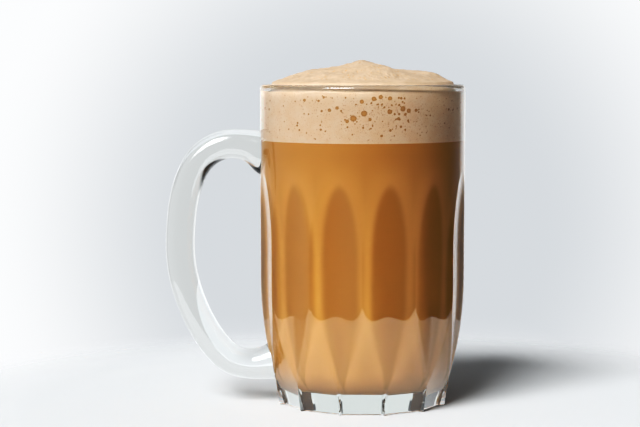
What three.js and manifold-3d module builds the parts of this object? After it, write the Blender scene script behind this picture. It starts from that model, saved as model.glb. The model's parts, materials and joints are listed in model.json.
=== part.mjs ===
// A pressed glass mug of pulled milk tea: the fluted glass with its ear handle, the tea and the head of froth.
// Millimetres, +Z up. The origin is the middle of the foot, on the table. The handle points to -X.
import * as THREE from "three";
import { mergeVertices } from "three/addons/utils/BufferGeometryUtils.js";
import Module from "manifold-3d";

// Driving dimensions of the glass.
const MUG_HEIGHT = 119.9;
const BARREL_RADIUS = 38.4;
const TAPER_TOP = 46; // below this height the barrel curves in
const TAPER_ARC = 105; // radius of that curve, seen from the side
const HEEL_HEIGHT = 12; // below this height the side is straight
const FOOT_BEVEL = 0.7;
const LIP_ROUNDING = 1.5;

// Twelve hollow flutes stand upright round the barrel. A ridge between two of them faces the handle.
const FLUTE_COUNT = 12;
const FLUTE_DEPTH = 2.4; // below the round barrel, along the middle of a flute
const FLUTE_FLOOR_ARC = 260; // the flute's floor curves in below TAPER_TOP too, but less than the barrel
const FLUTE_TOP = 87.8; // top of the flute's arch
const ARCH_HEIGHT = 30; // half an ellipse this high tops each flute
const ARCH_STEP = 20; // the flute sinks in over this height, just under its arch
const STEP_SHARE = 0.65; // by this share of its depth, and by the rest further down
const FLUTE_TIP = 11; // each flute ends below in a point at this height
const POINT_TOP = 42; // and starts to narrow at this one
const POINT_BULGE = 1.75;
const FLUTE_SHOULDER = 1.3; // 1 would leave a sharp edge along the outline, more rounds it

// The inside. The bore widens a little faster towards the rim.
const FLOOR_HEIGHT = 8;
const HEEL_ROUNDING = 8;
const BORE_FLOOR = 31;
const BORE_RIM = 35.2;
const BORE_BEND = 0.3;

// The handle's line, seen from the front as [x, z] of its middle, from the upper join to the lower one.
const HANDLE_LINE = [
  [-35.6, 96.1], [-44.5, 97.5], [-53.0, 97.0], [-60.5, 92.2], [-65.8, 82.2], [-68.5, 66.0],
  [-68.0, 50.2], [-63.3, 34.7], [-56.0, 22.1], [-49.4, 15.9], [-42.3, 14.1], [-31.5, 14.8],
];
const HANDLE_THICKNESS = 10.8;
const HANDLE_DEPTH = 14.5;
const HANDLE_SQUARENESS = 2.5; // 2 is an oval section, more is squarer
const JOIN_REACH = 4.5; // how far the thicker join runs along the handle
const UPPER_GUSSET = 5.2; // thickening under the upper join
const LOWER_GUSSET = 2.6; // thickening over the lower join
const JOIN_FLARE = 0.7;

// What is in the glass.
const FROTH_LINE = 99.2; // the tea ends and the froth begins
const FROTH_CONTACT = 117.2; // where the froth leaves the wall
const SHOULDER_INSET = 1.3; // the froth's shoulder stands this far in from the wall
const DOME_RISE = 7.2;
const DOME_SPREAD = 36;
const FIT_GAP = 0.3; // between the pieces

const GLASS_SEGMENTS = 96;
const FILLING_SEGMENTS = 64;

const wasm = await Module();
wasm.setup();

const sectorAngle = (2 * Math.PI) / FLUTE_COUNT;

// The radius of the bore: a straight rise from the floor to the rim, less a gentle bend.
function boreRadius(height) {
  const t = (height - FLOOR_HEIGHT) / (MUG_HEIGHT - FLOOR_HEIGHT);
  return THREE.MathUtils.lerp(BORE_FLOOR, BORE_RIM, t) - BORE_BEND * t * (1 - t);
}

// The bore with its rounded heel: a quarter circle joins the wall to the floor.
function cavityRadius(height) {
  const over = FLOOR_HEIGHT + HEEL_ROUNDING - height;
  if (over <= 0) return boreRadius(height);
  const inset = HEEL_ROUNDING - Math.sqrt(Math.max(0, HEEL_ROUNDING ** 2 - over ** 2));
  return boreRadius(height) - inset;
}

// The side view of the barrel: upright, then an arc inwards, then straight down to the foot.
function barrelRadius(height) {
  const inArc = TAPER_TOP - Math.max(height, HEEL_HEIGHT);
  if (inArc <= 0) return BARREL_RADIUS;
  const slope = (TAPER_TOP - HEEL_HEIGHT) / TAPER_ARC;
  return BARREL_RADIUS - inArc ** 2 / (2 * TAPER_ARC) - slope * Math.max(0, HEEL_HEIGHT - height);
}

// 1 along the middle of a flute and 0 outside its outline, in a direction this far off the flute's middle.
function fluteShare(offAngle, height) {
  const above = THREE.MathUtils.clamp((height - FLUTE_TOP + ARCH_HEIGHT) / ARCH_HEIGHT, 0, 1);
  const below = THREE.MathUtils.clamp((POINT_TOP - height) / (POINT_TOP - FLUTE_TIP), 0, 1);
  const halfWidth = (sectorAngle / 2) * Math.sqrt(1 - above ** 2) * (1 - below ** POINT_BULGE);
  if (halfWidth < 1e-6 || offAngle >= halfWidth) return 0;
  const under = FLUTE_TOP - height;
  const run = THREE.MathUtils.clamp(under / ARCH_STEP, 0, 1);
  const rest = THREE.MathUtils.smoothstep(under, 0, ARCH_HEIGHT);
  const depth = STEP_SHARE * run * (2 - run) + (1 - STEP_SHARE) * rest;
  return (1 - (offAngle / halfWidth) ** 2) ** FLUTE_SHOULDER * depth;
}

// The outside of the glass: a round barrel whose foot has twelve flat sides, drawn in to the floors of the flutes.
function outsideRadius(angle, height) {
  const fromRidge = angle - sectorAngle * Math.round(angle / sectorAngle);
  const flatSide = barrelRadius(height) / Math.cos(fromRidge);
  const roundness = THREE.MathUtils.smoothstep(height, TAPER_TOP - 10, TAPER_TOP + 5);
  const body = THREE.MathUtils.lerp(flatSide, barrelRadius(height), roundness);
  const floor = BARREL_RADIUS - FLUTE_DEPTH - Math.max(0, TAPER_TOP - height) ** 2 / (2 * FLUTE_FLOOR_ARC);
  return THREE.MathUtils.lerp(body, floor, fluteShare(sectorAngle / 2 - Math.abs(fromRidge), height));
}

// A closed three.js shape as a manifold solid.
function solidOf(geometry) {
  const bare = geometry.clone();
  bare.deleteAttribute("normal");
  bare.deleteAttribute("uv");
  const merged = mergeVertices(bare, 1e-4);
  const solid = new wasm.Manifold(
    new wasm.Mesh({ numProp: 3, vertProperties: merged.attributes.position.array, triVerts: merged.index.array }),
  );
  if (solid.volume() < 0) throw new Error("the shape is inside out");
  return solid;
}

function geometryOf(solid) {
  const mesh = solid.getMesh();
  const geometry = new THREE.BufferGeometry();
  geometry.setAttribute("position", new THREE.BufferAttribute(mesh.vertProperties, 3));
  geometry.setIndex(new THREE.BufferAttribute(mesh.triVerts, 1));
  geometry.computeVertexNormals();
  return geometry;
}

// Turns a profile of { r, z, onOutside } points round the Z axis, and lets place() move each point of the result.
function turned(profile, segments, place) {
  const points = profile.map((p) => new THREE.Vector2(p.r, p.z));
  const geometry = new THREE.LatheGeometry(points, segments);
  geometry.rotateX(Math.PI / 2);
  const position = geometry.attributes.position;
  const point = new THREE.Vector3();
  for (let i = 0; i < position.count; i++) {
    point.fromBufferAttribute(position, i);
    const moved = place(point, profile[i % profile.length]);
    position.setXYZ(i, moved.x, moved.y, moved.z);
  }
  return geometry;
}

const steps = (from, to, count) => Array.from({ length: count + 1 }, (_, i) => from + ((to - from) * i) / count);

// The glass body: under the foot, up the outside, over the lip and down the inside.
function glassBody() {
  const footRadius = barrelRadius(0) - FOOT_BEVEL;
  const under = [{ r: 0, z: 0 }, { r: footRadius, z: 0, trim: FOOT_BEVEL, onOutside: true }];
  const sideHeights = [
    FOOT_BEVEL, 5, 8, FLUTE_TIP, 14, 17.5, 21, 25, 29, 33, 37, POINT_TOP, 48, 57, 62, 66, 70, 73.5, 76.5, 79.5,
    82, 84, 85.5, 86.7, FLUTE_TOP, 98, MUG_HEIGHT - LIP_ROUNDING,
  ];
  const side = sideHeights.map((z) => ({ r: barrelRadius(z), z, onOutside: true }));
  const lipOuter = BARREL_RADIUS - LIP_ROUNDING;
  const lipInner = boreRadius(MUG_HEIGHT) + LIP_ROUNDING;
  const lip = [30, 60, 90].map((degrees) => {
    const a = THREE.MathUtils.degToRad(degrees);
    return { r: lipOuter + LIP_ROUNDING * Math.cos(a), z: MUG_HEIGHT - LIP_ROUNDING * (1 - Math.sin(a)) };
  });
  const innerLip = [90, 60, 30, 0].map((degrees) => {
    const a = THREE.MathUtils.degToRad(degrees);
    return { r: lipInner - LIP_ROUNDING * Math.cos(a), z: MUG_HEIGHT - LIP_ROUNDING * (1 - Math.sin(a)) };
  });
  const heel = steps(0, Math.PI / 2, 4).map((a) => FLOOR_HEIGHT + HEEL_ROUNDING * (1 - Math.sin(a)));
  const insideHeights = [98, 77, 56, 36, ...heel];
  const inside = insideHeights.map((z) => ({ r: cavityRadius(z), z }));
  const profile = [...under, ...side, ...lip, ...innerLip, ...inside, { r: 0, z: FLOOR_HEIGHT }];
  return turned(profile, GLASS_SEGMENTS, (point, at) => {
    if (!at.onOutside) return point;
    const angle = Math.atan2(point.y, point.x);
    const radius = outsideRadius(angle, at.z) - (at.trim ?? 0);
    return new THREE.Vector3(radius * Math.cos(angle), radius * Math.sin(angle), at.z);
  });
}

// The ear handle: a closed cylinder whose rings are set along the handle's line, thicker on its inner side at the joins.
function handle() {
  const line = new THREE.CatmullRomCurve3(HANDLE_LINE.map(([x, z]) => new THREE.Vector3(x, 0, z)), false, "centripetal");
  const length = line.getLength();
  const geometry = new THREE.CylinderGeometry(1, 1, 1, 16, 34);
  const position = geometry.attributes.position;
  const rounded = (v) => Math.sign(v) * Math.abs(v) ** (2 / HANDLE_SQUARENESS);
  const point = new THREE.Vector3();
  for (let i = 0; i < position.count; i++) {
    point.fromBufferAttribute(position, i);
    const along = 0.5 - point.y;
    const rim = Math.hypot(point.x, point.z);
    const [outward, sideways] = rim < 1e-6 ? [0, 0] : [rounded(point.x / rim), rounded(point.z / rim)];
    const nearUpper = Math.exp(-(((along * length) / JOIN_REACH) ** 2) / 2);
    const nearLower = Math.exp(-((((1 - along) * length) / JOIN_REACH) ** 2) / 2);
    const gusset = UPPER_GUSSET * nearUpper + LOWER_GUSSET * nearLower;
    const flare = JOIN_FLARE * (nearUpper + nearLower);
    const half = HANDLE_THICKNESS / 2 + (outward > 0 ? flare : gusset);
    const centre = line.getPointAt(along);
    const ahead = line.getTangentAt(along);
    centre.x += -ahead.z * -outward * half;
    centre.z += ahead.x * -outward * half;
    centre.y = sideways * (HANDLE_DEPTH / 2 + flare);
    position.setXYZ(i, centre.x, centre.y, centre.z);
  }
  return geometry;
}

// The milk tea fills the bore from the floor to the froth.
function teaFill() {
  const rise = FLOOR_HEIGHT + FIT_GAP;
  const heel = steps(Math.PI / 2, 0, 5).map((a) => rise + HEEL_ROUNDING * (1 - Math.sin(a)));
  const heights = [...heel, 36, 56, 77, FROTH_LINE - FIT_GAP / 2];
  const wall = heights.map((z) => ({ r: cavityRadius(z - FIT_GAP) - FIT_GAP, z }));
  return turned([{ r: 0, z: rise }, ...wall, { r: 0, z: heights.at(-1) }], FILLING_SEGMENTS, (point) => point);
}

// Height of the froth's top at a place: a low dome with a peak, a spur that runs forward from it, and smaller swells.
function frothTop(x, y) {
  const swells = [
    { at: [-0.5, 1], rise: 1.9, width: 4.2 }, // the peak
    { at: [3.5, -9], rise: 1.3, width: 4.5 }, // the spur towards the front
    { at: [6.5, -18], rise: 1.2, width: 4.8 },
    { at: [24.5, 3], rise: 1.3, width: 4.2 }, // the swell at the right
    { at: [14, -4], rise: -1.5, width: 5.5 }, // the trough between them
    { at: [-22, -6], rise: 0.6, width: 4 },
    { at: [-9, 17], rise: 0.8, width: 6 },
    { at: [10, 22], rise: -0.9, width: 6 },
    { at: [-25, 12], rise: -0.7, width: 5 },
  ];
  const dome = DOME_RISE * (1 - (x * x + y * y) / DOME_SPREAD ** 2);
  return swells.reduce((height, swell) => {
    const away = Math.hypot(x - swell.at[0], y - swell.at[1]) / swell.width;
    return height + swell.rise * Math.exp((-away * away) / 2);
  }, MUG_HEIGHT + dome);
}

// The froth stands on the tea, touches the wall up to its contact line, and swells over the rim.
function frothHead() {
  const base = FROTH_LINE + FIT_GAP / 2;
  const wall = [base, FROTH_CONTACT].map((z) => ({ r: cavityRadius(z) - FIT_GAP, z }));
  const shoulder = boreRadius(FROTH_CONTACT) - SHOULDER_INSET;
  const rings = [shoulder, 31.5, 28, 24, 20, 16, 12, 8, 4, 0].map((r) => ({ r, onTop: true }));
  const profile = [{ r: 0, z: base }, ...wall, ...rings.map((ring) => ({ ...ring, z: MUG_HEIGHT }))];
  return turned(profile, FILLING_SEGMENTS, (point, at) => {
    if (!at.onTop) return point;
    return new THREE.Vector3(point.x, point.y, frothTop(point.x, point.y));
  });
}

function piece(name, geometry, material) {
  const mesh = new THREE.Mesh(geometry, material);
  mesh.name = name;
  return mesh;
}

const clearGlass = new THREE.MeshStandardMaterial({
  color: 0xe4ebe6, roughness: 0.03, metalness: 0, transparent: true, opacity: 0.35,
});
const milkTea = new THREE.MeshStandardMaterial({ color: 0xb9772f, roughness: 0.25, metalness: 0 });
const froth = new THREE.MeshStandardMaterial({ color: 0xdcbd97, roughness: 0.7, metalness: 0 });

const mug = new THREE.Group();
mug.add(piece("glass_mug", geometryOf(solidOf(glassBody()).add(solidOf(handle()))), clearGlass));
mug.add(piece("milk_tea", geometryOf(solidOf(teaFill())), milkTea));
mug.add(piece("froth_head", geometryOf(solidOf(frothHead())), froth));

export default mug;
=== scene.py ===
# %% [markdown]
# # A glass mug of pulled milk tea
#
# Pulled tea is poured from cup to cup until it froths, and it is served in a pressed glass mug: twelve
# hollow flutes stand round the barrel, and an ear handle is fused to one side. This lesson builds it in
# three pieces, the clear glass, the opaque tea and the head of froth, and then lights it like a studio
# photograph. Clear glass shows nothing of its own: it shows its shape by what it bends and mirrors, so
# most of the work goes into true wall thicknesses and into what stands round the mug.

# %% Load the frame
import json
import math

import bpy
import numpy as np
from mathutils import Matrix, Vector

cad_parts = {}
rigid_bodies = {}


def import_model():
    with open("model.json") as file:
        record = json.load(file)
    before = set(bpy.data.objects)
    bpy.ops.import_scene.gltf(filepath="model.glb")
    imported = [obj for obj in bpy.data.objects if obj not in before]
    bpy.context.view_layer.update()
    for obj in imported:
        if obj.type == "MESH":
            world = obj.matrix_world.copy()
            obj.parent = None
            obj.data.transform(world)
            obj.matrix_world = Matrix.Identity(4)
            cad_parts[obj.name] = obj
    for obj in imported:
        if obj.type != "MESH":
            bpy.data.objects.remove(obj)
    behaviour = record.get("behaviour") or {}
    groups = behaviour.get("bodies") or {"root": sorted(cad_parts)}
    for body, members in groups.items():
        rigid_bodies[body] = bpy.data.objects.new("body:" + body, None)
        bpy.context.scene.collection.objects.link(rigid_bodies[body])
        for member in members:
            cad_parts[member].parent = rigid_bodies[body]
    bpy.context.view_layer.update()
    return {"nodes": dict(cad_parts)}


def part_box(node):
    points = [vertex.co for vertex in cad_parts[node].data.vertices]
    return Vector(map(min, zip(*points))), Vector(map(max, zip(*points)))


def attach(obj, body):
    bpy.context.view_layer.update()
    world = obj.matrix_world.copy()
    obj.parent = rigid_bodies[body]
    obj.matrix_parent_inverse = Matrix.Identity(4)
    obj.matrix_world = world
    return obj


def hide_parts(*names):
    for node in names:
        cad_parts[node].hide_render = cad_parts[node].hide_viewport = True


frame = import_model()
MM = 0.001
print("nodes:", sorted(frame["nodes"]))

# %% [markdown]
# ## Sizes
#
# Every surface below is worked out from the driving sizes of the construction, here in millimetres. A
# size that the frame can tell, such as the height of the mug, is read from the frame. The flutes are
# shallow hollows pressed into a round barrel, whose foot is a twelve-sided prism.

# %% The driving sizes
glass_low, glass_high = (np.array(corner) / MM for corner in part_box("glass_mug"))
MUG_HEIGHT = float(glass_high[2])
BARREL_RADIUS = 38.4
TAPER_TOP, TAPER_ARC, HEEL_HEIGHT = 46.0, 105.0, 12.0
FOOT_BEVEL, LIP_ROUNDING = 0.7, 1.5
FLUTE_COUNT = 12
FLUTE_DEPTH, FLUTE_FLOOR_ARC, FLUTE_SHOULDER = 2.4, 260.0, 1.3
FLUTE_TOP, ARCH_HEIGHT, ARCH_STEP, STEP_SHARE = 87.8, 30.0, 20.0, 0.65
FLUTE_TIP, POINT_TOP, POINT_BULGE = 11.0, 42.0, 1.75
FLOOR_HEIGHT, HEEL_ROUNDING = 8.0, 8.0
BORE_FLOOR, BORE_RIM, BORE_BEND = 31.0, 35.2, 0.3
SECTOR = 2 * math.pi / FLUTE_COUNT
print("mug height in mm:", round(MUG_HEIGHT, 1))

# %% [markdown]
# ## From arrays to meshes
#
# A surface that is a function of two parameters becomes a grid: rows one way, columns the other. The
# faces of a grid follow from counting alone, so whole arrays make them at once. Blender's own primitives
# could start such a piece, but they would have to be bent afterwards, vertex by vertex.

# %% Grid helpers
def grid_faces(rows, columns, first=0):
    """Quads of a grid that closes round its columns: a point, its neighbour, and the two in the next row."""
    row, column = np.meshgrid(np.arange(rows - 1), np.arange(columns), indexing="ij")
    after = (column + 1) % columns
    here, above = row * columns, (row + 1) * columns
    corners = [here + column, here + after, above + after, above + column]
    return np.stack(corners, axis=-1).reshape(-1, 4) + first


def fan_faces(pole, ring_first, columns, facing_up):
    """Triangles from one pole to each pair of neighbours on a ring, wound one way or the other."""
    column = np.arange(columns)
    after = (column + 1) % columns
    pair = (column, after) if facing_up else (after, column)
    return np.stack([np.full(columns, pole), pair[0] + ring_first, pair[1] + ring_first], axis=-1)


def mesh_piece(name, points, face_sets, smooth_angle=180):
    """A mesh object of points in mm and arrays of equal-sided faces, smooth below the given edge angle."""
    corners = np.concatenate([faces.ravel() for faces in face_sets])
    counts = np.concatenate([np.full(len(faces), faces.shape[1]) for faces in face_sets])
    mesh = bpy.data.meshes.new(name)
    mesh.vertices.add(len(points))
    mesh.vertices.foreach_set("co", (np.asarray(points) * MM).ravel())
    mesh.loops.add(len(corners))
    mesh.loops.foreach_set("vertex_index", corners)
    mesh.polygons.add(len(counts))
    mesh.polygons.foreach_set("loop_start", np.cumsum(counts) - counts)
    mesh.update(calc_edges=True)
    mesh.polygons.foreach_set("use_smooth", np.ones(len(counts), bool))
    if smooth_angle < 180:
        mesh.set_sharp_from_angle(angle=math.radians(smooth_angle))
    piece = bpy.data.objects.new(name, mesh)
    bpy.context.scene.collection.objects.link(piece)
    return piece


def turned_piece(name, rows, smooth_angle=180):
    """Closes a stack of rings, listed from the lowest to the last, with a pole at each end."""
    count, columns = rows.shape[:2]
    poles = np.array([rows[0].mean(axis=0), rows[-1].mean(axis=0)])
    points = np.concatenate([rows.reshape(-1, 3), poles])
    faces = [
        grid_faces(count, columns),
        fan_faces(count * columns, 0, columns, facing_up=False),
        fan_faces(count * columns + 1, (count - 1) * columns, columns, facing_up=True),
    ]
    return mesh_piece(name, points, faces, smooth_angle)


def triangle_count(piece):
    return sum(len(polygon.vertices) - 2 for polygon in piece.data.polygons)


print("a 3 by 4 grid has", len(grid_faces(3, 4)), "quads")


# %% [markdown]
# ## The outside of the glass
#
# A pressed mug is pushed into a mould, so its outside is the mould's shape with every edge rounded by the
# flame. It could be cut with twelve boolean cylinders, but a formula keeps the edges soft. In words, the
# radius is the barrel's, drawn in towards the flutes' floor by a share: 1 along the middle of a flute and
# 0 on its outline, which is half an oval above and a point below. The share starts gently under each
# arch, because a steeper start mirrors the front of the table as a pale brow over the flute.

# %% The radius functions
def ramp(value, low, high):
    """Smoothstep: 0 below low, 1 above high, and 3t squared minus 2t cubed between them."""
    t = np.clip((value - low) / (high - low), 0, 1)
    return t * t * (3 - 2 * t)


def barrel_radius(height):
    """Upright down to TAPER_TOP, then an arc (drop squared over twice its radius), then a straight slope."""
    in_arc = np.clip(TAPER_TOP - np.maximum(height, HEEL_HEIGHT), 0, None)
    slope = (TAPER_TOP - HEEL_HEIGHT) / TAPER_ARC
    return BARREL_RADIUS - in_arc**2 / (2 * TAPER_ARC) - slope * np.clip(HEEL_HEIGHT - height, 0, None)


def flute_share(off_angle, height):
    """1 along a flute, 0 beyond its outline: a power of one less the square across, times the arch's rise."""
    above = np.clip((height - FLUTE_TOP + ARCH_HEIGHT) / ARCH_HEIGHT, 0, 1)
    below = np.clip((POINT_TOP - height) / (POINT_TOP - FLUTE_TIP), 0, 1)
    half_width = SECTOR / 2 * np.sqrt(1 - above**2) * (1 - below**POINT_BULGE)
    across = np.clip(off_angle / np.maximum(half_width, 1e-6), 0, 1)
    under = FLUTE_TOP - height
    run = np.clip(under / ARCH_STEP, 0, 1)
    depth = STEP_SHARE * run * (2 - run) + (1 - STEP_SHARE) * ramp(under, 0, ARCH_HEIGHT)
    return (1 - across**2) ** FLUTE_SHOULDER * depth


def outside_radius(angle, height):
    """The barrel, flat-sided near the foot, drawn in to the flutes' floor by as much as flute_share says."""
    from_ridge = angle - SECTOR * np.round(angle / SECTOR)
    flat_side = barrel_radius(height) / np.cos(from_ridge)
    roundness = ramp(height, TAPER_TOP - 10, TAPER_TOP + 5)
    body = flat_side + (barrel_radius(height) - flat_side) * roundness
    floor = BARREL_RADIUS - FLUTE_DEPTH - np.clip(TAPER_TOP - height, 0, None) ** 2 / (2 * FLUTE_FLOOR_ARC)
    return body + (floor - body) * flute_share(SECTOR / 2 - np.abs(from_ridge), height)


def bore_radius(height):
    """From BORE_FLOOR to BORE_RIM: a straight rise, less BORE_BEND times t - t squared."""
    t = (height - FLOOR_HEIGHT) / (MUG_HEIGHT - FLOOR_HEIGHT)
    return BORE_FLOOR + (BORE_RIM - BORE_FLOOR) * t - BORE_BEND * t * (1 - t)


def cavity_radius(height):
    """The bore, less a quarter circle's inset over the heel."""
    over = np.clip(FLOOR_HEIGHT + HEEL_ROUNDING - height, 0, HEEL_ROUNDING)
    inset = HEEL_ROUNDING - np.sqrt(HEEL_ROUNDING**2 - over**2)
    return bore_radius(height) - inset


ridge, flute = outside_radius(np.array([0.0, SECTOR / 2]), 60.0)
print(f"at 60 mm up: ridge {ridge:.2f} mm, flute {flute:.2f} mm, bore {cavity_radius(60.0):.2f} mm")

# %% [markdown]
# ## The body of the glass
#
# One profile runs under the foot, up the outside, over the lip and down the inside, so the glass is one
# closed wall with its real thickness. The columns crowd together near each ridge, where the surface
# turns fastest, and spread out over the middle of each flute, where it hardly turns at all.

# %% The glass body
COLUMNS_PER_FLUTE = 40
CROWDING = 0.3  # 0 spreads the columns evenly, near 1 crowds them at the ridges


def column_angles(per_flute=COLUMNS_PER_FLUTE):
    """Angles round the mug: even steps less a sine of themselves, which crowds them at each ridge."""
    even = np.arange(FLUTE_COUNT * per_flute) / per_flute
    return SECTOR * (even - CROWDING / (2 * math.pi) * np.sin(2 * math.pi * even))


def rings(radii, heights, angles):
    """Points for each radius, height and angle: the radius times cosine and sine, and the height."""
    radii = np.broadcast_to(radii, (len(heights), len(angles)))
    heights = np.broadcast_to(np.reshape(heights, (-1, 1)), radii.shape)
    return np.stack([radii * np.cos(angles), radii * np.sin(angles), heights], axis=-1)


def lip_arc(centre_radius, from_degrees, to_degrees, count):
    """Part of the lip's rounding, as radius and height: a quarter circle of LIP_ROUNDING."""
    turn = np.radians(np.linspace(from_degrees, to_degrees, count))
    return centre_radius + LIP_ROUNDING * np.cos(turn), MUG_HEIGHT - LIP_ROUNDING * (1 - np.sin(turn))


angles = column_angles()
underside = rings(np.array([[4.0], [12], [20], [26]]), np.zeros(4), angles)
bevel_turn = np.radians(np.linspace(0, 90, 5))
bevel_inset = FOOT_BEVEL * (1 - np.sin(bevel_turn))
foot_heights = FOOT_BEVEL * (1 - np.cos(bevel_turn))
foot_radii = outside_radius(angles[None, :], foot_heights[:, None]) - bevel_inset[:, None]
foot = rings(foot_radii, foot_heights, angles)

side_heights = np.concatenate([
    np.linspace(FOOT_BEVEL, HEEL_HEIGHT, 12)[1:],
    np.linspace(HEEL_HEIGHT, FLUTE_TOP - 14, 42)[1:],
    np.linspace(FLUTE_TOP - 14, FLUTE_TOP + 1, 44)[1:],
    np.linspace(FLUTE_TOP + 1, MUG_HEIGHT - LIP_ROUNDING, 10)[1:],
])
side = rings(outside_radius(angles[None, :], side_heights[:, None]), side_heights, angles)

outer_lip = lip_arc(BARREL_RADIUS - LIP_ROUNDING, 0, 90, 8)
inner_lip = lip_arc(BORE_RIM + LIP_ROUNDING, 90, 180, 8)
lip_radii = np.concatenate([outer_lip[0][1:], inner_lip[0]])
lip_heights = np.concatenate([outer_lip[1][1:], inner_lip[1]])
lip = rings(lip_radii[:, None], lip_heights, angles)

heel_turn = np.radians(np.linspace(0, 90, 13))
inside_heights = np.concatenate([
    np.linspace(MUG_HEIGHT - LIP_ROUNDING, FLOOR_HEIGHT + HEEL_ROUNDING, 26)[1:],
    FLOOR_HEIGHT + HEEL_ROUNDING * (1 - np.sin(heel_turn[1:])),
])
inside = rings(cavity_radius(inside_heights)[:, None], inside_heights, angles)
floor_radii = np.array([15.0, 9, 4])
cavity_floor = rings(floor_radii[:, None], np.full(3, FLOOR_HEIGHT), angles)

body_rows = np.concatenate([underside, foot, side, lip, inside, cavity_floor])
glass = turned_piece("glass_body", body_rows, smooth_angle=40)
print("glass body:", body_rows.shape[0], "rings,", triangle_count(glass), "triangles")

# %% [markdown]
# ## The ear handle
#
# The handle is a bar of glass bent into an ear and pressed on while soft. It is a profile carried along
# a path: a rounded-square ring is set across the path at each step, and near the two joins the ring
# thickens on its inner side, where the soft glass was pushed against the barrel.

# %% The handle's path
HANDLE_LINE = np.array([
    (-35.6, 96.1), (-44.5, 97.5), (-53.0, 97.0), (-60.5, 92.2), (-65.8, 82.2), (-68.5, 66.0),
    (-68.0, 50.2), (-63.3, 34.7), (-56.0, 22.1), (-49.4, 15.9), (-42.3, 14.1), (-31.5, 14.8),
])
HANDLE_THICKNESS, HANDLE_DEPTH, HANDLE_SQUARENESS = 10.8, 14.5, 2.5
JOIN_REACH, UPPER_GUSSET, LOWER_GUSSET, JOIN_FLARE = 4.5, 5.2, 2.6, 0.7


def smooth_path(points, per_span=60):
    """Centripetal Catmull-Rom: cubics sloped by the neighbours, timed by the root of their distance."""
    ends = [2 * points[0] - points[1], *points, 2 * points[-1] - points[-2]]
    p = np.array(ends)
    gap = np.sqrt(np.linalg.norm(np.diff(p, axis=0), axis=1))[:, None]
    before, here, after = gap[:-2], gap[1:-1], gap[2:]
    step = np.diff(p, axis=0)
    slope_in = (step[:-2] / before - (p[2:-1] - p[:-3]) / (before + here) + step[1:-1] / here) * here
    slope_out = (step[1:-1] / here - (p[3:] - p[1:-2]) / (here + after) + step[2:] / after) * here
    t = np.linspace(0, 1, per_span, endpoint=False)[None, :, None]
    a, b, m, n = (v[:, None, :] for v in (p[1:-2], p[2:-1], slope_in, slope_out))
    share = t * t * (3 - 2 * t)
    curve = a + share * (b - a) + (t**3 - 2 * t**2 + t) * m + (t**3 - t**2) * n
    return np.concatenate([curve.reshape(-1, 2), points[-1:]])


def evenly_along(path, count):
    """The path's length, and points and directions at equal distances along it."""
    run = np.concatenate([[0], np.cumsum(np.linalg.norm(np.diff(path, axis=0), axis=1))])
    at = np.linspace(0, run[-1], count)
    even = np.stack([np.interp(at, run, path[:, k]) for k in range(2)], axis=-1)
    ahead = np.gradient(even, axis=0)
    return run[-1], even, ahead / np.linalg.norm(ahead, axis=1, keepdims=True)


handle_length, handle_middle, handle_ahead = evenly_along(smooth_path(HANDLE_LINE), 170)
print(f"handle path: {handle_length:.1f} mm")

# %% [markdown]
# A bevelled curve object would give a bar of one thickness. Rings made as an array can thicken where the
# bar meets the barrel, and they stay upright, because the whole path lies in one plane.


# %% The handle's surface
def handle_rows(around=72):
    """Rounded-square rings across the path: signed powers of cosine and sine, thicker at the joins."""
    turn = np.linspace(0, 2 * math.pi, around, endpoint=False)
    power = 2 / HANDLE_SQUARENESS
    outward = np.sign(np.cos(turn)) * np.abs(np.cos(turn)) ** power
    sideways = np.sign(np.sin(turn)) * np.abs(np.sin(turn)) ** power
    run = np.linspace(0, handle_length, len(handle_middle))[:, None]
    near_upper = np.exp(-((run / JOIN_REACH) ** 2) / 2)
    near_lower = np.exp(-(((handle_length - run) / JOIN_REACH) ** 2) / 2)
    flare = JOIN_FLARE * (near_upper + near_lower)
    gusset = UPPER_GUSSET * near_upper + LOWER_GUSSET * near_lower
    half = HANDLE_THICKNESS / 2 + np.where(outward > 0, flare, gusset)
    x = handle_middle[:, :1] + handle_ahead[:, 1:] * outward * half
    z = handle_middle[:, 1:] - handle_ahead[:, :1] * outward * half
    y = sideways * (HANDLE_DEPTH / 2 + flare)
    return np.stack([x, y, z], axis=-1)


handle = turned_piece("ear_handle", handle_rows())
print("ear handle:", triangle_count(handle), "triangles")

# %% [markdown]
# ## One piece of glass
#
# The two must be one closed solid. If the bar only stood inside the barrel, light would bend at the hidden
# walls between them, and the join would show as a ghost. A union leaves only the outer skin.


# %% Fuse the handle to the body
def outward_volume(mesh):
    """Six times the signed volume: over all triangles, a corner dotted with the cross of the other two."""
    mesh.calc_loop_triangles()
    index = np.empty(len(mesh.loop_triangles) * 3, int)
    mesh.loop_triangles.foreach_get("vertices", index)
    co = np.empty(len(mesh.vertices) * 3)
    mesh.vertices.foreach_get("co", co)
    a, b, c = co.reshape(-1, 3)[index.reshape(-1, 3)].transpose(1, 0, 2)
    return float(np.einsum("ij,ij->", a, np.cross(b, c)))


def fuse(base, extra, name, smooth_angle):
    """One closed solid of both: a union modifier, whose result becomes the new piece's own mesh."""
    for part in (base, extra):
        if outward_volume(part.data) < 0:
            part.data.flip_normals()
    union = base.modifiers.new("union", "BOOLEAN")
    union.operation, union.solver, union.object = "UNION", "MANIFOLD", extra
    graph = bpy.context.evaluated_depsgraph_get()
    mesh = bpy.data.meshes.new_from_object(base.evaluated_get(graph))
    for part in (base, extra):
        bpy.data.objects.remove(part)
    mesh.name = name
    mesh.polygons.foreach_set("use_smooth", np.ones(len(mesh.polygons), bool))
    mesh.set_sharp_from_angle(angle=math.radians(smooth_angle))
    piece = bpy.data.objects.new(name, mesh)
    bpy.context.scene.collection.objects.link(piece)
    return piece


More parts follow.
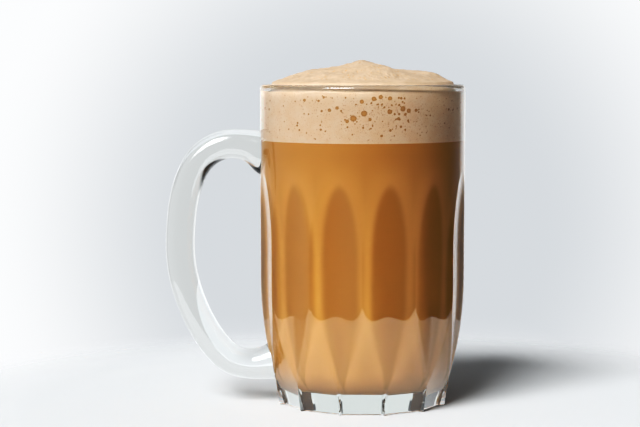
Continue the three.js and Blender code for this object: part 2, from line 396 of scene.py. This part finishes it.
glass = fuse(glass, handle, "fluted_glass", smooth_angle=40)
glass_volume = outward_volume(glass.data) / 6 / MM**3 / 1000
print("fluted glass:", triangle_count(glass), "triangles, volume cm3", round(glass_volume, 1))

# %% [markdown]
# ## The tea
#
# The tea is opaque, so it needs only a skin. That skin lies a hair inside the glass wall rather than on
# it: then no ray can slip between the two and show a bright film of air, which is how a badly filled
# glass gives itself away.
#
# The edges of the flutes work as weak lenses: each gathers the light that comes from the left into a pale
# band on the tea behind it. A path tracer finds such bands only slowly, so the surface carries them as an
# attribute, worked out from the distance to the nearest flute's outline.

# %% The tea
FROTH_LINE = 99.2
OVERLAP = 0.12  # how far a filling reaches into the wall
BAND_WIDTH, OUTER_SPREAD, BAND_GAIN = 1.75, 1.9, 0.14
FLUTE_SHADE, SHADE_REACH = 0.05, 4.0
LIGHT_DROP = 2.2  # the light comes from above, so it lands this much below each edge
LIGHT_TURN = math.radians(1.5)  # and it comes from the left, so it lands to the right of each edge
FAR_LEVEL, FAR_DISTANCE, LEAST_SLOPE = 0.6, 9.0, 0.02  # well inside a flute the distance is just far


def tea_rows(columns=480):
    """The cavity's radius and the overlap, from the floor up to the froth line, and in to the middle."""
    turn = np.linspace(0, 2 * math.pi, columns, endpoint=False)
    heel = FLOOR_HEIGHT + HEEL_ROUNDING * (1 - np.cos(np.radians(np.linspace(0, 90, 14))))
    heights = np.concatenate([heel, np.linspace(heel[-1], FROTH_LINE, 120)[1:]])
    wall_heights = heights - OVERLAP * (heights < heel[-1])
    wall = rings((cavity_radius(heights) + OVERLAP)[:, None], wall_heights, turn)
    bottom = rings(np.array([[6.0], [14.0]]), np.full(2, FLOOR_HEIGHT - OVERLAP), turn)
    top = rings(np.array([[30.0], [20.0], [8.0]]), np.full(3, FROTH_LINE), turn)
    return np.concatenate([bottom, wall, top])


def outline_distance(angle, height):
    """Distance in mm to a flute's outline, positive inside: how far inside the unit oval, over its slope."""
    off_angle = SECTOR / 2 - np.abs(angle - SECTOR * np.round(angle / SECTOR))

    def oval(rise):
        up = np.clip((rise - FLUTE_TOP + ARCH_HEIGHT) / ARCH_HEIGHT, 0, 2)
        low = np.clip((POINT_TOP - rise) / (POINT_TOP - FLUTE_TIP), 0, 1)
        half_width = SECTOR / 2 * np.maximum(1 - low**POINT_BULGE, 0.05)
        across = np.clip(off_angle / half_width, 0, 3)
        return 1 - across**2 - up**2, 2 * across / (half_width * BARREL_RADIUS)

    level, sideways = oval(height)
    upward = (oval(height + 0.05)[0] - oval(height - 0.05)[0]) / 0.1
    distance = level / np.maximum(np.hypot(sideways, upward), LEAST_SLOPE)
    return np.where(level > FAR_LEVEL, FAR_DISTANCE, distance)


def gathered_light(points):
    """Light that the edges gather: a bell-shaped band at each outline, and a shade inside it."""
    angle = np.arctan2(points[..., 1], points[..., 0])
    distance = outline_distance(angle - LIGHT_TURN, points[..., 2] + LIGHT_DROP)
    width = np.where(distance > 0, BAND_WIDTH, OUTER_SPREAD * BAND_WIDTH)
    band = np.exp(-((distance / width) ** 2) / 2)
    return BAND_GAIN * band - FLUTE_SHADE * ramp(distance, 0, SHADE_REACH)


tea_points = tea_rows()
tea = turned_piece("milk_tea_fill", tea_points, smooth_angle=50)
gathered = tea.data.attributes.new("gathered", "FLOAT", "POINT")
gathered.data.foreach_set("value", np.concatenate([gathered_light(tea_points).ravel(), [0, 0]]))
print("tea:", triangle_count(tea), "triangles")

# %% [markdown]
# ## The head of froth
#
# Pulled tea carries a stiff froth that swells over the rim. Its top is a low dome with a few swells where
# the last of the froth was dropped on, so it is a formula too: a sculpted mesh would look no softer, and
# could not be changed by one number.

# %% The froth's top
FROTH_CONTACT, SHOULDER_INSET = 117.2, 1.3
DOME_RISE, DOME_SPREAD = 7.2, 36.0
SWELLS = np.array([  # x, y, rise and width of each swell on the dome
    (-0.5, 1, 1.9, 4.2), (3.5, -9, 1.3, 4.5), (6.5, -18, 1.2, 4.8), (24.5, 3, 1.3, 4.2),
    (14, -4, -1.5, 5.5), (-22, -6, 0.6, 4), (-9, 17, 0.8, 6), (10, 22, -0.9, 6), (-25, 12, -0.7, 5),
])
RELIEF, RELIEF_SPACING, GRAIN, GRAIN_SPACING = 0.15, 7.0, 0.05, 1.9
PIT_DEPTH, PIT_SPACING, CROWN_DROP = 0.16, 1.1, 0.16


def ripples(points, spacing, waves, seed):
    """Gentle random relief with a spread of 1: many sine waves added, each with its own way and phase."""
    draw = np.random.default_rng(seed)
    direction = draw.normal(size=(waves, 3))
    direction /= np.linalg.norm(direction, axis=1, keepdims=True)
    pace = 2 * math.pi / (spacing * draw.uniform(0.7, 1.5, size=waves))
    phase = draw.uniform(0, 2 * math.pi, size=waves)
    total = sum(np.sin(points @ d * k + p) for d, k, p in zip(direction, pace, phase))
    return total / math.sqrt(waves / 2)


def froth_top(x, y):
    """A dome that falls with the square of the distance, and a bell-shaped swell at each listed place."""
    height = MUG_HEIGHT + DOME_RISE * (1 - (x**2 + y**2) / DOME_SPREAD**2)
    for at_x, at_y, rise, width in SWELLS:
        height = height + rise * np.exp(-((x - at_x) ** 2 + (y - at_y) ** 2) / (2 * width**2))
    return height


print(f"the froth peaks {froth_top(-0.5, 1.0) - MUG_HEIGHT:.1f} mm over the rim")

# %% [markdown]
# ## Bubbles
#
# The bubbles against the glass are flat windows into the froth: through each one shows the brown tea that
# wets its back. The photographed side has about twenty clear ones, set here by place and size, and many
# specks, which are drawn at random and lie thicker in the middle and at the right. The far side has never
# been seen, so its bubbles are all drawn at random, by the same rule.
#
# They could be thousands of small spheres, but then they would need a boolean each. Instead each point of
# the froth remembers in an attribute how far inside a bubble it lies, and the material colours it.

# %% Where the bubbles are
NAMED_BUBBLES = np.array([  # degrees from the front towards the right, height in mm, width in mm
    (-5.2, 108.1, 2.5), (0.9, 109.9, 2.3), (-8.8, 107.1, 1.4), (-0.4, 114.1, 1.6), (6.4, 115.1, 1.7),
    (10.3, 115.7, 1.6), (15.7, 115.2, 1.6), (15.6, 110.5, 1.9), (23.5, 111.5, 2.1), (27.2, 110.8, 1.7),
    (25.1, 109.5, 1.1), (32.0, 110.9, 1.3), (4.3, 107.7, 1.2), (20.8, 108.0, 1.2), (-19.1, 111.0, 1.4),
    (-14.6, 111.8, 1.3), (16.1, 103.8, 1.0), (22.4, 105.1, 1.0), (-35.0, 114.5, 1.2), (-25.7, 114.3, 1.0),
    (-22.5, 115.6, 1.0),
])


def scattered_bubbles(count, least, most, seed):
    """Random places round the froth: many small and few wide, and fewer low down and at the far left."""
    draw = np.random.default_rng(seed)
    around = draw.uniform(-180, 180, size=count * 4)
    height = FROTH_LINE + 0.8 + draw.beta(1.7, 1.35, size=count * 4) * (FROTH_CONTACT - FROTH_LINE - 1.8)
    chance = 0.22 + 0.78 * np.exp(-(((around - 14) / 24) ** 2) / 2) + 0.4 * (np.abs(around) > 95)
    kept = draw.uniform(size=count * 4) < chance
    size = least + (most - least) * draw.beta(1.0, 3.2, size=count * 4)
    return np.stack([around, height, size], axis=-1)[kept][:count]


BUBBLES = np.concatenate([
    NAMED_BUBBLES,
    scattered_bubbles(420, 0.5, 1.25, seed=21),
    scattered_bubbles(3600, 0.25, 0.75, seed=22),
])
print("bubbles:", len(BUBBLES), "of which", len(NAMED_BUBBLES), "by name")

# %% [markdown]
# The attribute can only be as sharp as the grid. So the columns stand twice as dense at the front, where
# they are looked at, and further apart at the back.


# %% The froth's surface
def bubble_field(angle, height, radius):
    """For each place on the wall: how far inside a bubble it lies, 0 to 1, and how wide the bubble is."""
    depth = np.zeros(np.broadcast(angle, height).shape)
    width = np.zeros_like(depth)
    turn = angle[0]
    rise = height[:, 0]
    for around, at_height, size in BUBBLES:
        at_angle = math.radians(around - 90)
        off_turn = (turn - at_angle + math.pi) % (2 * math.pi) - math.pi
        columns = np.flatnonzero(np.abs(off_turn) * radius < size)
        rows = np.flatnonzero(np.abs(rise - at_height) < size)
        if not len(columns) or not len(rows):
            continue
        away = np.hypot(off_turn[columns][None, :] * radius, rise[rows][:, None] - at_height) / (size / 2)
        inside = np.clip(1 - away**2, 0, 1)
        place = np.ix_(rows, columns)
        deeper = inside > depth[place]
        depth[place] = np.where(deeper, inside, depth[place])
        width[place] = np.where(deeper, size, width[place])
    return depth, width


def froth_rows(columns=640):
    """The base, the wall and the dome in to its middle, with a bubble and a crown value for each point."""
    even = np.linspace(0, 2 * math.pi, columns, endpoint=False)
    turn = even - 0.5 * np.cos(even)  # twice as dense at the front as an even spacing
    base = rings(np.array([[10.0], [28.0]]), np.full(2, FROTH_LINE - 0.2), turn)
    heights = np.linspace(FROTH_LINE - 0.2, FROTH_CONTACT, 86)
    radius = (cavity_radius(heights) + OVERLAP)[:, None]
    depth, width = bubble_field(turn[None, :], heights[:, None], float(radius.mean()))
    wall = rings(radius, heights, turn)

    shoulder = float(bore_radius(FROTH_CONTACT)) - SHOULDER_INSET
    radii = shoulder - (shoulder - 1.0) * np.linspace(0, 1, 60) ** 1.15
    top = rings(radii[:, None], np.zeros(len(radii)), turn)
    top[..., 2] = froth_top(top[..., 0], top[..., 1])
    edge = ramp(shoulder - radii, 0, 4)[:, None]
    pits = ramp(ripples(top, PIT_SPACING, 40, seed=13), 1.1, 2.4)
    relief = RELIEF * ripples(top, RELIEF_SPACING, 60, seed=11)
    relief = relief + GRAIN * ripples(top, GRAIN_SPACING, 60, seed=12)
    top[..., 2] += edge * (relief - PIT_DEPTH * pits - CROWN_DROP)
    side_bubble = depth * (0.15 + 0.85 * ramp(width, 0.35, 1.4))
    bubble = np.concatenate([np.zeros(base.shape[:2]), side_bubble, 0.25 * edge * pits])
    # crown marks the top, where the material paints shade over the froth's tones
    crown = np.concatenate([np.zeros(base.shape[:2]), np.zeros(wall.shape[:2]), np.ones(top.shape[:2])])
    return np.concatenate([base, wall, top]), bubble, crown


froth_points, bubble_value, top_shade_mask = froth_rows()
froth = turned_piece("froth_crown", froth_points, smooth_angle=60)
for name, value in (("bubble", bubble_value), ("crown", top_shade_mask)):
    stored = froth.data.attributes.new(name, "FLOAT", "POINT")
    stored.data.foreach_set("value", np.concatenate([value.ravel(), value[0, :1], value[-1, :1]]))
print("froth:", triangle_count(froth), "triangles")

# %% [markdown]
# ## Finishes
#
# All finishes are procedural, so they need no pictures and can be tuned by number. A few helpers keep the
# node trees short. The most useful one is a wire: a number on its way through the tree. With it, a
# light that is a window plus a wall, less a screen, is written as just that.

# %% A number in a node tree
class Wire:
    """The output of a node that carries a number, so that sums and products of outputs read as arithmetic."""

    def __init__(self, tree, socket):
        self.tree = tree
        self.socket = socket

    def math(self, operation, *others):
        values = dict(enumerate((self, *others)))
        node = add_node(self.tree, "ShaderNodeMath", {"operation": operation}, values)
        return Wire(self.tree, node.outputs[0])

    def __add__(self, other):
        return self.math("ADD", other)

    def __mul__(self, other):
        return self.math("MULTIPLY", other)

    def __rsub__(self, number):
        return self * -1.0 + number

    def step(self, low, high, start=0.0, end=1.0):
        """Smoothstep: from start to end while this number goes from low to high."""
        inputs = {"Value": self, "From Min": low, "From Max": high, "To Min": start, "To Max": end}
        node = add_node(self.tree, "ShaderNodeMapRange", {"interpolation_type": "SMOOTHSTEP"}, inputs)
        return Wire(self.tree, node.outputs["Result"])

    def band(self, low, high, soft):
        """1 between low and high and 0 outside, with edges as wide as soft."""
        return self.step(low - soft / 2, low + soft / 2) * (1 - self.step(high - soft / 2, high + soft / 2))


# %% Node helpers
def fresh_material(name):
    material = bpy.data.materials.new(name)
    material.use_nodes = True
    tree = material.node_tree
    return material, tree, tree.nodes["Principled BSDF"]


def add_node(tree, kind, settings=None, inputs=None):
    """Adds a node, sets its properties, and sets each input to a value or links it to an output."""
    node = tree.nodes.new(kind)
    for key, value in (settings or {}).items():
        setattr(node, key, value)
    for key, value in (inputs or {}).items():
        source = value.socket if isinstance(value, Wire) else value
        if isinstance(source, bpy.types.NodeSocket):
            tree.links.new(source, node.inputs[key])
        else:
            node.inputs[key].default_value = source
    return node


def blend(tree, factor, first, second):
    """The mix of two colours, each given as red, green and blue or as the output of another node."""
    inputs = {"Factor": factor}
    for index, colour in ((6, first), (7, second)):
        inputs[index] = colour if isinstance(colour, bpy.types.NodeSocket) else (*colour, 1)
    return add_node(tree, "ShaderNodeMix", {"data_type": "RGBA"}, inputs).outputs[2]


def object_place(tree):
    return add_node(tree, "ShaderNodeTexCoord").outputs["Object"]


def noise(tree, scale, detail):
    """Random grain that is fixed to the object, at so many grains to the metre."""
    inputs = {"Vector": object_place(tree), "Scale": scale, "Detail": detail}
    return Wire(tree, add_node(tree, "ShaderNodeTexNoise", inputs=inputs).outputs["Fac"])


def attribute(tree, name):
    """The number that the mesh remembers under this name."""
    return Wire(tree, add_node(tree, "ShaderNodeAttribute", {"attribute_name": name}).outputs["Fac"])


def light_path(tree):
    """What kind of ray asks for the light, as wires by name."""
    return {output.name: Wire(tree, output) for output in add_node(tree, "ShaderNodeLightPath").outputs}


def from_srgb(red, green, blue):
    """A screen colour of 0 to 255 as linear light: the power 2.4 curve, straight near black."""
    value = np.array([red, green, blue]) / 255
    return tuple(np.where(value <= 0.04045, value / 12.92, ((value + 0.055) / 1.055) ** 2.4).tolist())


print("mid grey in linear light:", round(from_srgb(128, 128, 128)[0], 3))

# %% [markdown]
# Soda-lime glass is smooth and bends light by 1.5. It is tinted by what lies inside it, not by its skin,
# so the faint grey-green comes from absorption in the volume: thick places such as the foot and the rim
# then look greener than the wall, as they do in life.

# %% Clear glass
GLASS_BENDING = 1.5
GLASS_TINT, GLASS_DENSITY = (0.80, 0.88, 0.83, 1), 12


def clear_glass():
    material, tree, shader = fresh_material("clear pressed glass")
    shader.inputs["Base Color"].default_value = (1, 1, 1, 1)
    shader.inputs["Transmission Weight"].default_value = 1
    shader.inputs["Roughness"].default_value = 0.0
    shader.inputs["IOR"].default_value = GLASS_BENDING
    inputs = {"Color": GLASS_TINT, "Density": GLASS_DENSITY}
    volume = add_node(tree, "ShaderNodeVolumeAbsorption", inputs=inputs)
    tree.links.new(volume.outputs[0], tree.nodes["Material Output"].inputs["Volume"])
    return material


glass.data.materials.clear()
glass.data.materials.append(clear_glass())
print("glass:", glass.data.materials[0].name)

# %% [markdown]
# Milk tea scatters light so strongly that it looks like paint. Behind glass it has no gloss of its own,
# so its highlight is nearly off. Two tones of caramel follow the gathered light.

# %% Tea
TEA_SHADED, TEA_BRIGHT = (0.50, 0.225, 0.018), (0.88, 0.490, 0.175)
GATHERED_RANGE = 0.25  # gathered light of this much more or less gives the full tone


def tea_material():
    material, tree, shader = fresh_material("milk tea")
    share = attribute(tree, "gathered") * (0.5 / GATHERED_RANGE) + 0.5
    tree.links.new(blend(tree, share, TEA_SHADED, TEA_BRIGHT), shader.inputs["Base Color"])
    shader.inputs["Roughness"].default_value = 0.5
    shader.inputs["Specular IOR Level"].default_value = 0.03
    return material


tea.data.materials.append(tea_material())
print("tea:", tea.data.materials[0].name)

# %% [markdown]
# Froth is air and tea, pale where the bubbles are fine and brown where a large one shows its wet back. Two
# sizes of noise give clouds and grain, and the bubble attribute gives each bubble a dark edge and a lighter
# middle. The crown attribute gives the top the side's tones at about half their lightness: painted shade,
# which offsets the strong light that falls on the top from the window.

# %% Froth
SIDE_TONES = (0.955, 0.71, 0.497), (0.98, 0.76, 0.563)
# The top's tones are the side's at about half the lightness: painted shade against the window's light on the
# top
TOP_TONES_PAINTED_SHADE = (0.53, 0.385, 0.265), (0.58, 0.43, 0.305)
GRAIN_TONE, BUBBLE_EDGE, BUBBLE_MIDDLE = (0.76, 0.48, 0.25), (0.60, 0.30, 0.105), (0.72, 0.39, 0.145)
CLOUDS_PER_METRE, GRAINS_PER_METRE = 260.0, 1900.0


def froth_material():
    material, tree, shader = fresh_material("froth")
    clouds = noise(tree, CLOUDS_PER_METRE, 3.0).step(0.35, 0.65)
    grains = noise(tree, GRAINS_PER_METRE, 2.0).step(0.60, 0.78)
    side = blend(tree, grains, blend(tree, clouds, *SIDE_TONES), GRAIN_TONE)
    # Where crown is 1, on the top, the darker tones are painted shade
    body = blend(tree, attribute(tree, "crown"), side, blend(tree, clouds, *TOP_TONES_PAINTED_SHADE))
    bubble = attribute(tree, "bubble")
    edged = blend(tree, bubble.step(0.02, 0.30), body, BUBBLE_EDGE)
    whole = blend(tree, bubble.step(0.40, 0.90), edged, BUBBLE_MIDDLE)
    tree.links.new(whole, shader.inputs["Base Color"])
    shader.inputs["Roughness"].default_value = 0.55
    shader.inputs["Specular IOR Level"].default_value = 0.25
    return material


froth.data.materials.append(froth_material())
print("froth:", froth.data.materials[0].name)

# %% [markdown]
# ## Onto the frame
#
# Nothing on the mug moves, so every piece rides the root and takes the place of one node of the
# construction.

# %% Ride and replace
for piece, slot, node in (
    (glass, "clear_glass", "glass_mug"),
    (tea, "milk_tea", "milk_tea"),
    (froth, "froth", "froth_head"),
):
    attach(piece, "root")
    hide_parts(node)
    print(piece.name, "replaces", node)

# %% [markdown]
# ## The studio
#
# Area lamps would do for a matt thing, but clear glass mirrors the whole room. So the room is painted on
# the world by direction, in degrees across from the camera and up from level: a soft window high on the
# left, a pale wall on the left and behind, a dark screen that gives the handle its dark inner streak, and
# two low cards for the pale strips at the sides of the barrel. The tea and froth take less from the walls
# than the glass does, which keeps the side away from the window deep.

# %% The lit room
KEY_AZIMUTH, KEY_ELEVATION, KEY_LIGHT, KEY_SOFTNESS = (-49, -13), (24, 56), 18.8, 12
WALL_LIGHT, WALL_BEHIND, REST_LIGHT, OVERHEAD_LIGHT = 0.85, 0.8, 0.04, 0.35
SCREEN_AZIMUTH, SCREEN_ELEVATION, SCREEN_SOFTNESS = (-158, -104), (8, 60), 6
CARD_AZIMUTH, CARD_ELEVATION, CARD_LIGHT = (142, 172), (-16, 6), 0.7
SHARE_ON_MATTER, FILL_ON_MATTER = 0.2, 0.12
ROOM_COLOUR = (0.97, 0.99, 1.0, 1)


def room_light(azimuth, elevation, path):
    """How bright the room is in each direction, for each kind of ray."""

    def patch(across, up, soft):
        return azimuth.band(*across, soft) * elevation.band(*up, soft)

    window = patch(KEY_AZIMUTH, KEY_ELEVATION, KEY_SOFTNESS)
    left = 1 - azimuth.step(-80, 25)
    walls = left.math("MAXIMUM", azimuth.step(108, 155)) * WALL_LIGHT
    behind = 1 - azimuth.band(-118, 118, 20)
    screen = patch(SCREEN_AZIMUTH, SCREEN_ELEVATION, SCREEN_SOFTNESS)
    walls = walls * (1 - behind * (1 - WALL_BEHIND)) * (1 - screen) + REST_LIGHT
    around = walls * (1 - elevation.step(60, 75)) + elevation.step(62, 85) * OVERHEAD_LIGHT
    on_matter = path["Diffuse Depth"].math("MINIMUM", 1.0)
    around = around * (1 - on_matter * (1 - SHARE_ON_MATTER)) + on_matter * FILL_ON_MATTER
    cards = azimuth.math("ABSOLUTE").band(*CARD_AZIMUTH, 8) * elevation.band(*CARD_ELEVATION, 6)
    return window * KEY_LIGHT + around + cards * path["Is Reflection Ray"] * CARD_LIGHT


print("window from", KEY_AZIMUTH, "degrees across and", KEY_ELEVATION, "degrees up")

# %% [markdown]
# The camera itself sees a plain backdrop instead of the room: light grey round the mug, and white towards
# the sides and low down, where the table takes over.

# %% The seen backdrop
BACKDROP_GREY, BACKDROP_WHITE = from_srgb(214, 218, 222), from_srgb(252, 253, 254)
GREY_TOWARDS, GREY_REACH = (0.004, 1.0, -0.088), (5.0, 12.0)
LOW_FROM, LOW_TO, LOW_SHARE = 7.5, 10.5, 0.8
DEGREES = 180 / math.pi


def seen_backdrop(tree, direction, elevation):
    """White by the angle from the middle of the grey or by how far the view looks down, the larger."""
    towards = np.array(GREY_TOWARDS) / np.linalg.norm(GREY_TOWARDS)
    inputs = {0: direction, 1: towards.tolist()}
    dot = add_node(tree, "ShaderNodeVectorMath", {"operation": "DOT_PRODUCT"}, inputs).outputs["Value"]
    off = Wire(tree, dot).math("ARCCOSINE") * DEGREES
    low = (elevation * -1.0).step(LOW_FROM, LOW_TO) * LOW_SHARE
    return blend(tree, off.step(*GREY_REACH).math("MAXIMUM", low), BACKDROP_GREY, BACKDROP_WHITE)


def studio_world():
    world = bpy.data.worlds.new("studio")
    bpy.context.scene.world = world
    world.use_nodes = True
    tree = world.node_tree
    tree.nodes.clear()
    direction = add_node(tree, "ShaderNodeTexCoord").outputs["Generated"]
    parts = add_node(tree, "ShaderNodeSeparateXYZ", inputs={"Vector": direction}).outputs
    x, y, z = (Wire(tree, part) for part in parts)
    azimuth = x.math("ARCTAN2", y * -1.0) * DEGREES
    elevation = z.math("ARCSINE") * DEGREES
    path = light_path(tree)
    inputs = {"Color": ROOM_COLOUR, "Strength": room_light(azimuth, elevation, path)}
    lit = add_node(tree, "ShaderNodeBackground", inputs=inputs)
    seen = add_node(tree, "ShaderNodeBackground", inputs={"Color": seen_backdrop(tree, direction, elevation)})
    inputs = {0: path["Is Camera Ray"], 1: lit.outputs[0], 2: seen.outputs[0]}
    choice = add_node(tree, "ShaderNodeMixShader", inputs=inputs)
    add_node(tree, "ShaderNodeOutputWorld", inputs={"Surface": choice.outputs[0]})
    return world


print("world:", studio_world().name)

# %% [markdown]
# The white table must do three things: take the soft shadow at the right of the foot, fade into the
# backdrop before its edge can be seen, and glow in the lower half of the mug. That glow is the table
# mirrored in the taper, and it is strong only in front, where the table is lit. A mirror ray therefore
# finds a brighter table than the camera does, and a ray from the tea finds only what falls on it.

# %% The table
TABLE_RINGS, TABLE_DROP = np.array([[20.0], [60], [140], [160], [215.0]]), 0.05
TABLE_SEEN, TABLE_IN_GLASS, TABLE_ON_MATTER = (0.72, 0.73, 0.74), (0.34, 0.35, 0.36), (0.46, 0.46, 0.46)
GLOW_COLOUR, GLOW_IN_GLASS, GLOW_SEEN = (0.96, 0.98, 1, 1), 0.55, 0.01
MIRRORED_BACK, MIRRORED_FRONT = (20 * MM, 0.3), (-35 * MM, 2.3)  # place along Y, and extra glow there
FADE_FROM, FADE_TO = 110 * MM, 200 * MM


def table_material():
    material, tree, shader = fresh_material("white table")
    path = light_path(tree)
    place = object_place(tree)
    camera_ray = path["Is Camera Ray"]
    on_matter = path["Diffuse Depth"].math("MINIMUM", 1.0)
    unseen = blend(tree, on_matter, TABLE_IN_GLASS, TABLE_ON_MATTER)
    tree.links.new(blend(tree, camera_ray, unseen, TABLE_SEEN), shader.inputs["Base Color"])
    shader.inputs["Roughness"].default_value = 0.6
    shader.inputs["Specular IOR Level"].default_value = 0.0

    along = Wire(tree, add_node(tree, "ShaderNodeSeparateXYZ", inputs={"Vector": place}).outputs["Y"])
    extra = along.step(MIRRORED_BACK[0], MIRRORED_FRONT[0], MIRRORED_BACK[1], MIRRORED_FRONT[1])
    glow = path["Is Reflection Ray"] * extra + GLOW_IN_GLASS + camera_ray * (GLOW_SEEN - GLOW_IN_GLASS)
    shader.inputs["Emission Color"].default_value = GLOW_COLOUR
    tree.links.new((glow * (1 - on_matter)).socket, shader.inputs["Emission Strength"])

    length = add_node(tree, "ShaderNodeVectorMath", {"operation": "LENGTH"}, {0: place}).outputs["Value"]
    faded = Wire(tree, length).step(FADE_FROM, FADE_TO) * camera_ray
    nothing = add_node(tree, "ShaderNodeBsdfTransparent")
    inputs = {0: faded, 1: shader.outputs[0], 2: nothing.outputs[0]}
    mix = add_node(tree, "ShaderNodeMixShader", inputs=inputs)
    tree.links.new(mix.outputs[0], tree.nodes["Material Output"].inputs["Surface"])
    return material


def studio_floor():
    """A disc just under the foot, out of rings and a pole."""
    turn = np.linspace(0, 2 * math.pi, 96, endpoint=False)
    rows = rings(TABLE_RINGS, np.full(len(TABLE_RINGS), -TABLE_DROP), turn)
    count, columns = rows.shape[:2]
    points = np.concatenate([rows.reshape(-1, 3), [[0, 0, -TABLE_DROP]]])
    faces = [grid_faces(count, columns), fan_faces(count * columns, 0, columns, facing_up=False)]
    floor = mesh_piece("studio_floor", points, faces)
    floor.data.materials.append(table_material())
    return floor


studio_floor()
print("table: a disc of", TABLE_RINGS[-1, 0], "mm, kept out of the part")

# %% [markdown]
# ## The camera
#
# The photograph looks slightly down on the mug from about 70 cm with a long lens. The place, pitch and
# yaw were fitted to the rim, the froth line and the foot. A curve over the picture's tones deepens the
# darks as the photograph does.

# %% The camera
CAMERA_PLACE = (0.0, -701.0, 127.0)
CAMERA_PITCH, CAMERA_YAW = 4.54, 1.304
CAMERA_LENS, SENSOR_WIDTH = 105.0, 36.0
TONE_CURVE = ((0.06, 0.022), (0.13, 0.056), (0.26, 0.182), (0.42, 0.384), (0.6, 0.6))


def main_camera():
    data = bpy.data.cameras.new("main camera")
    data.lens, data.sensor_width = CAMERA_LENS, SENSOR_WIDTH
    camera = bpy.data.objects.new("main camera", data)
    camera.location = [value * MM for value in CAMERA_PLACE]
    camera.rotation_euler = (math.radians(90 - CAMERA_PITCH), 0, math.radians(CAMERA_YAW))
    bpy.context.scene.collection.objects.link(camera)
    bpy.context.scene.camera = camera


def tone_curve(view):
    """Plain output, then a curve through the listed points on all three channels at once."""
    view.view_transform = "Standard"
    view.use_curve_mapping = True
    combined = view.curve_mapping.curves[3]
    for point, place in zip(combined.points, ((0, 0), (1, 1))):
        point.location = place
    for x, y in TONE_CURVE:
        combined.points.new(x, y)
    view.curve_mapping.update()


main_camera()
tone_curve(bpy.context.scene.view_settings)
print("camera at", CAMERA_PLACE, "mm with a", CAMERA_LENS, "mm lens")
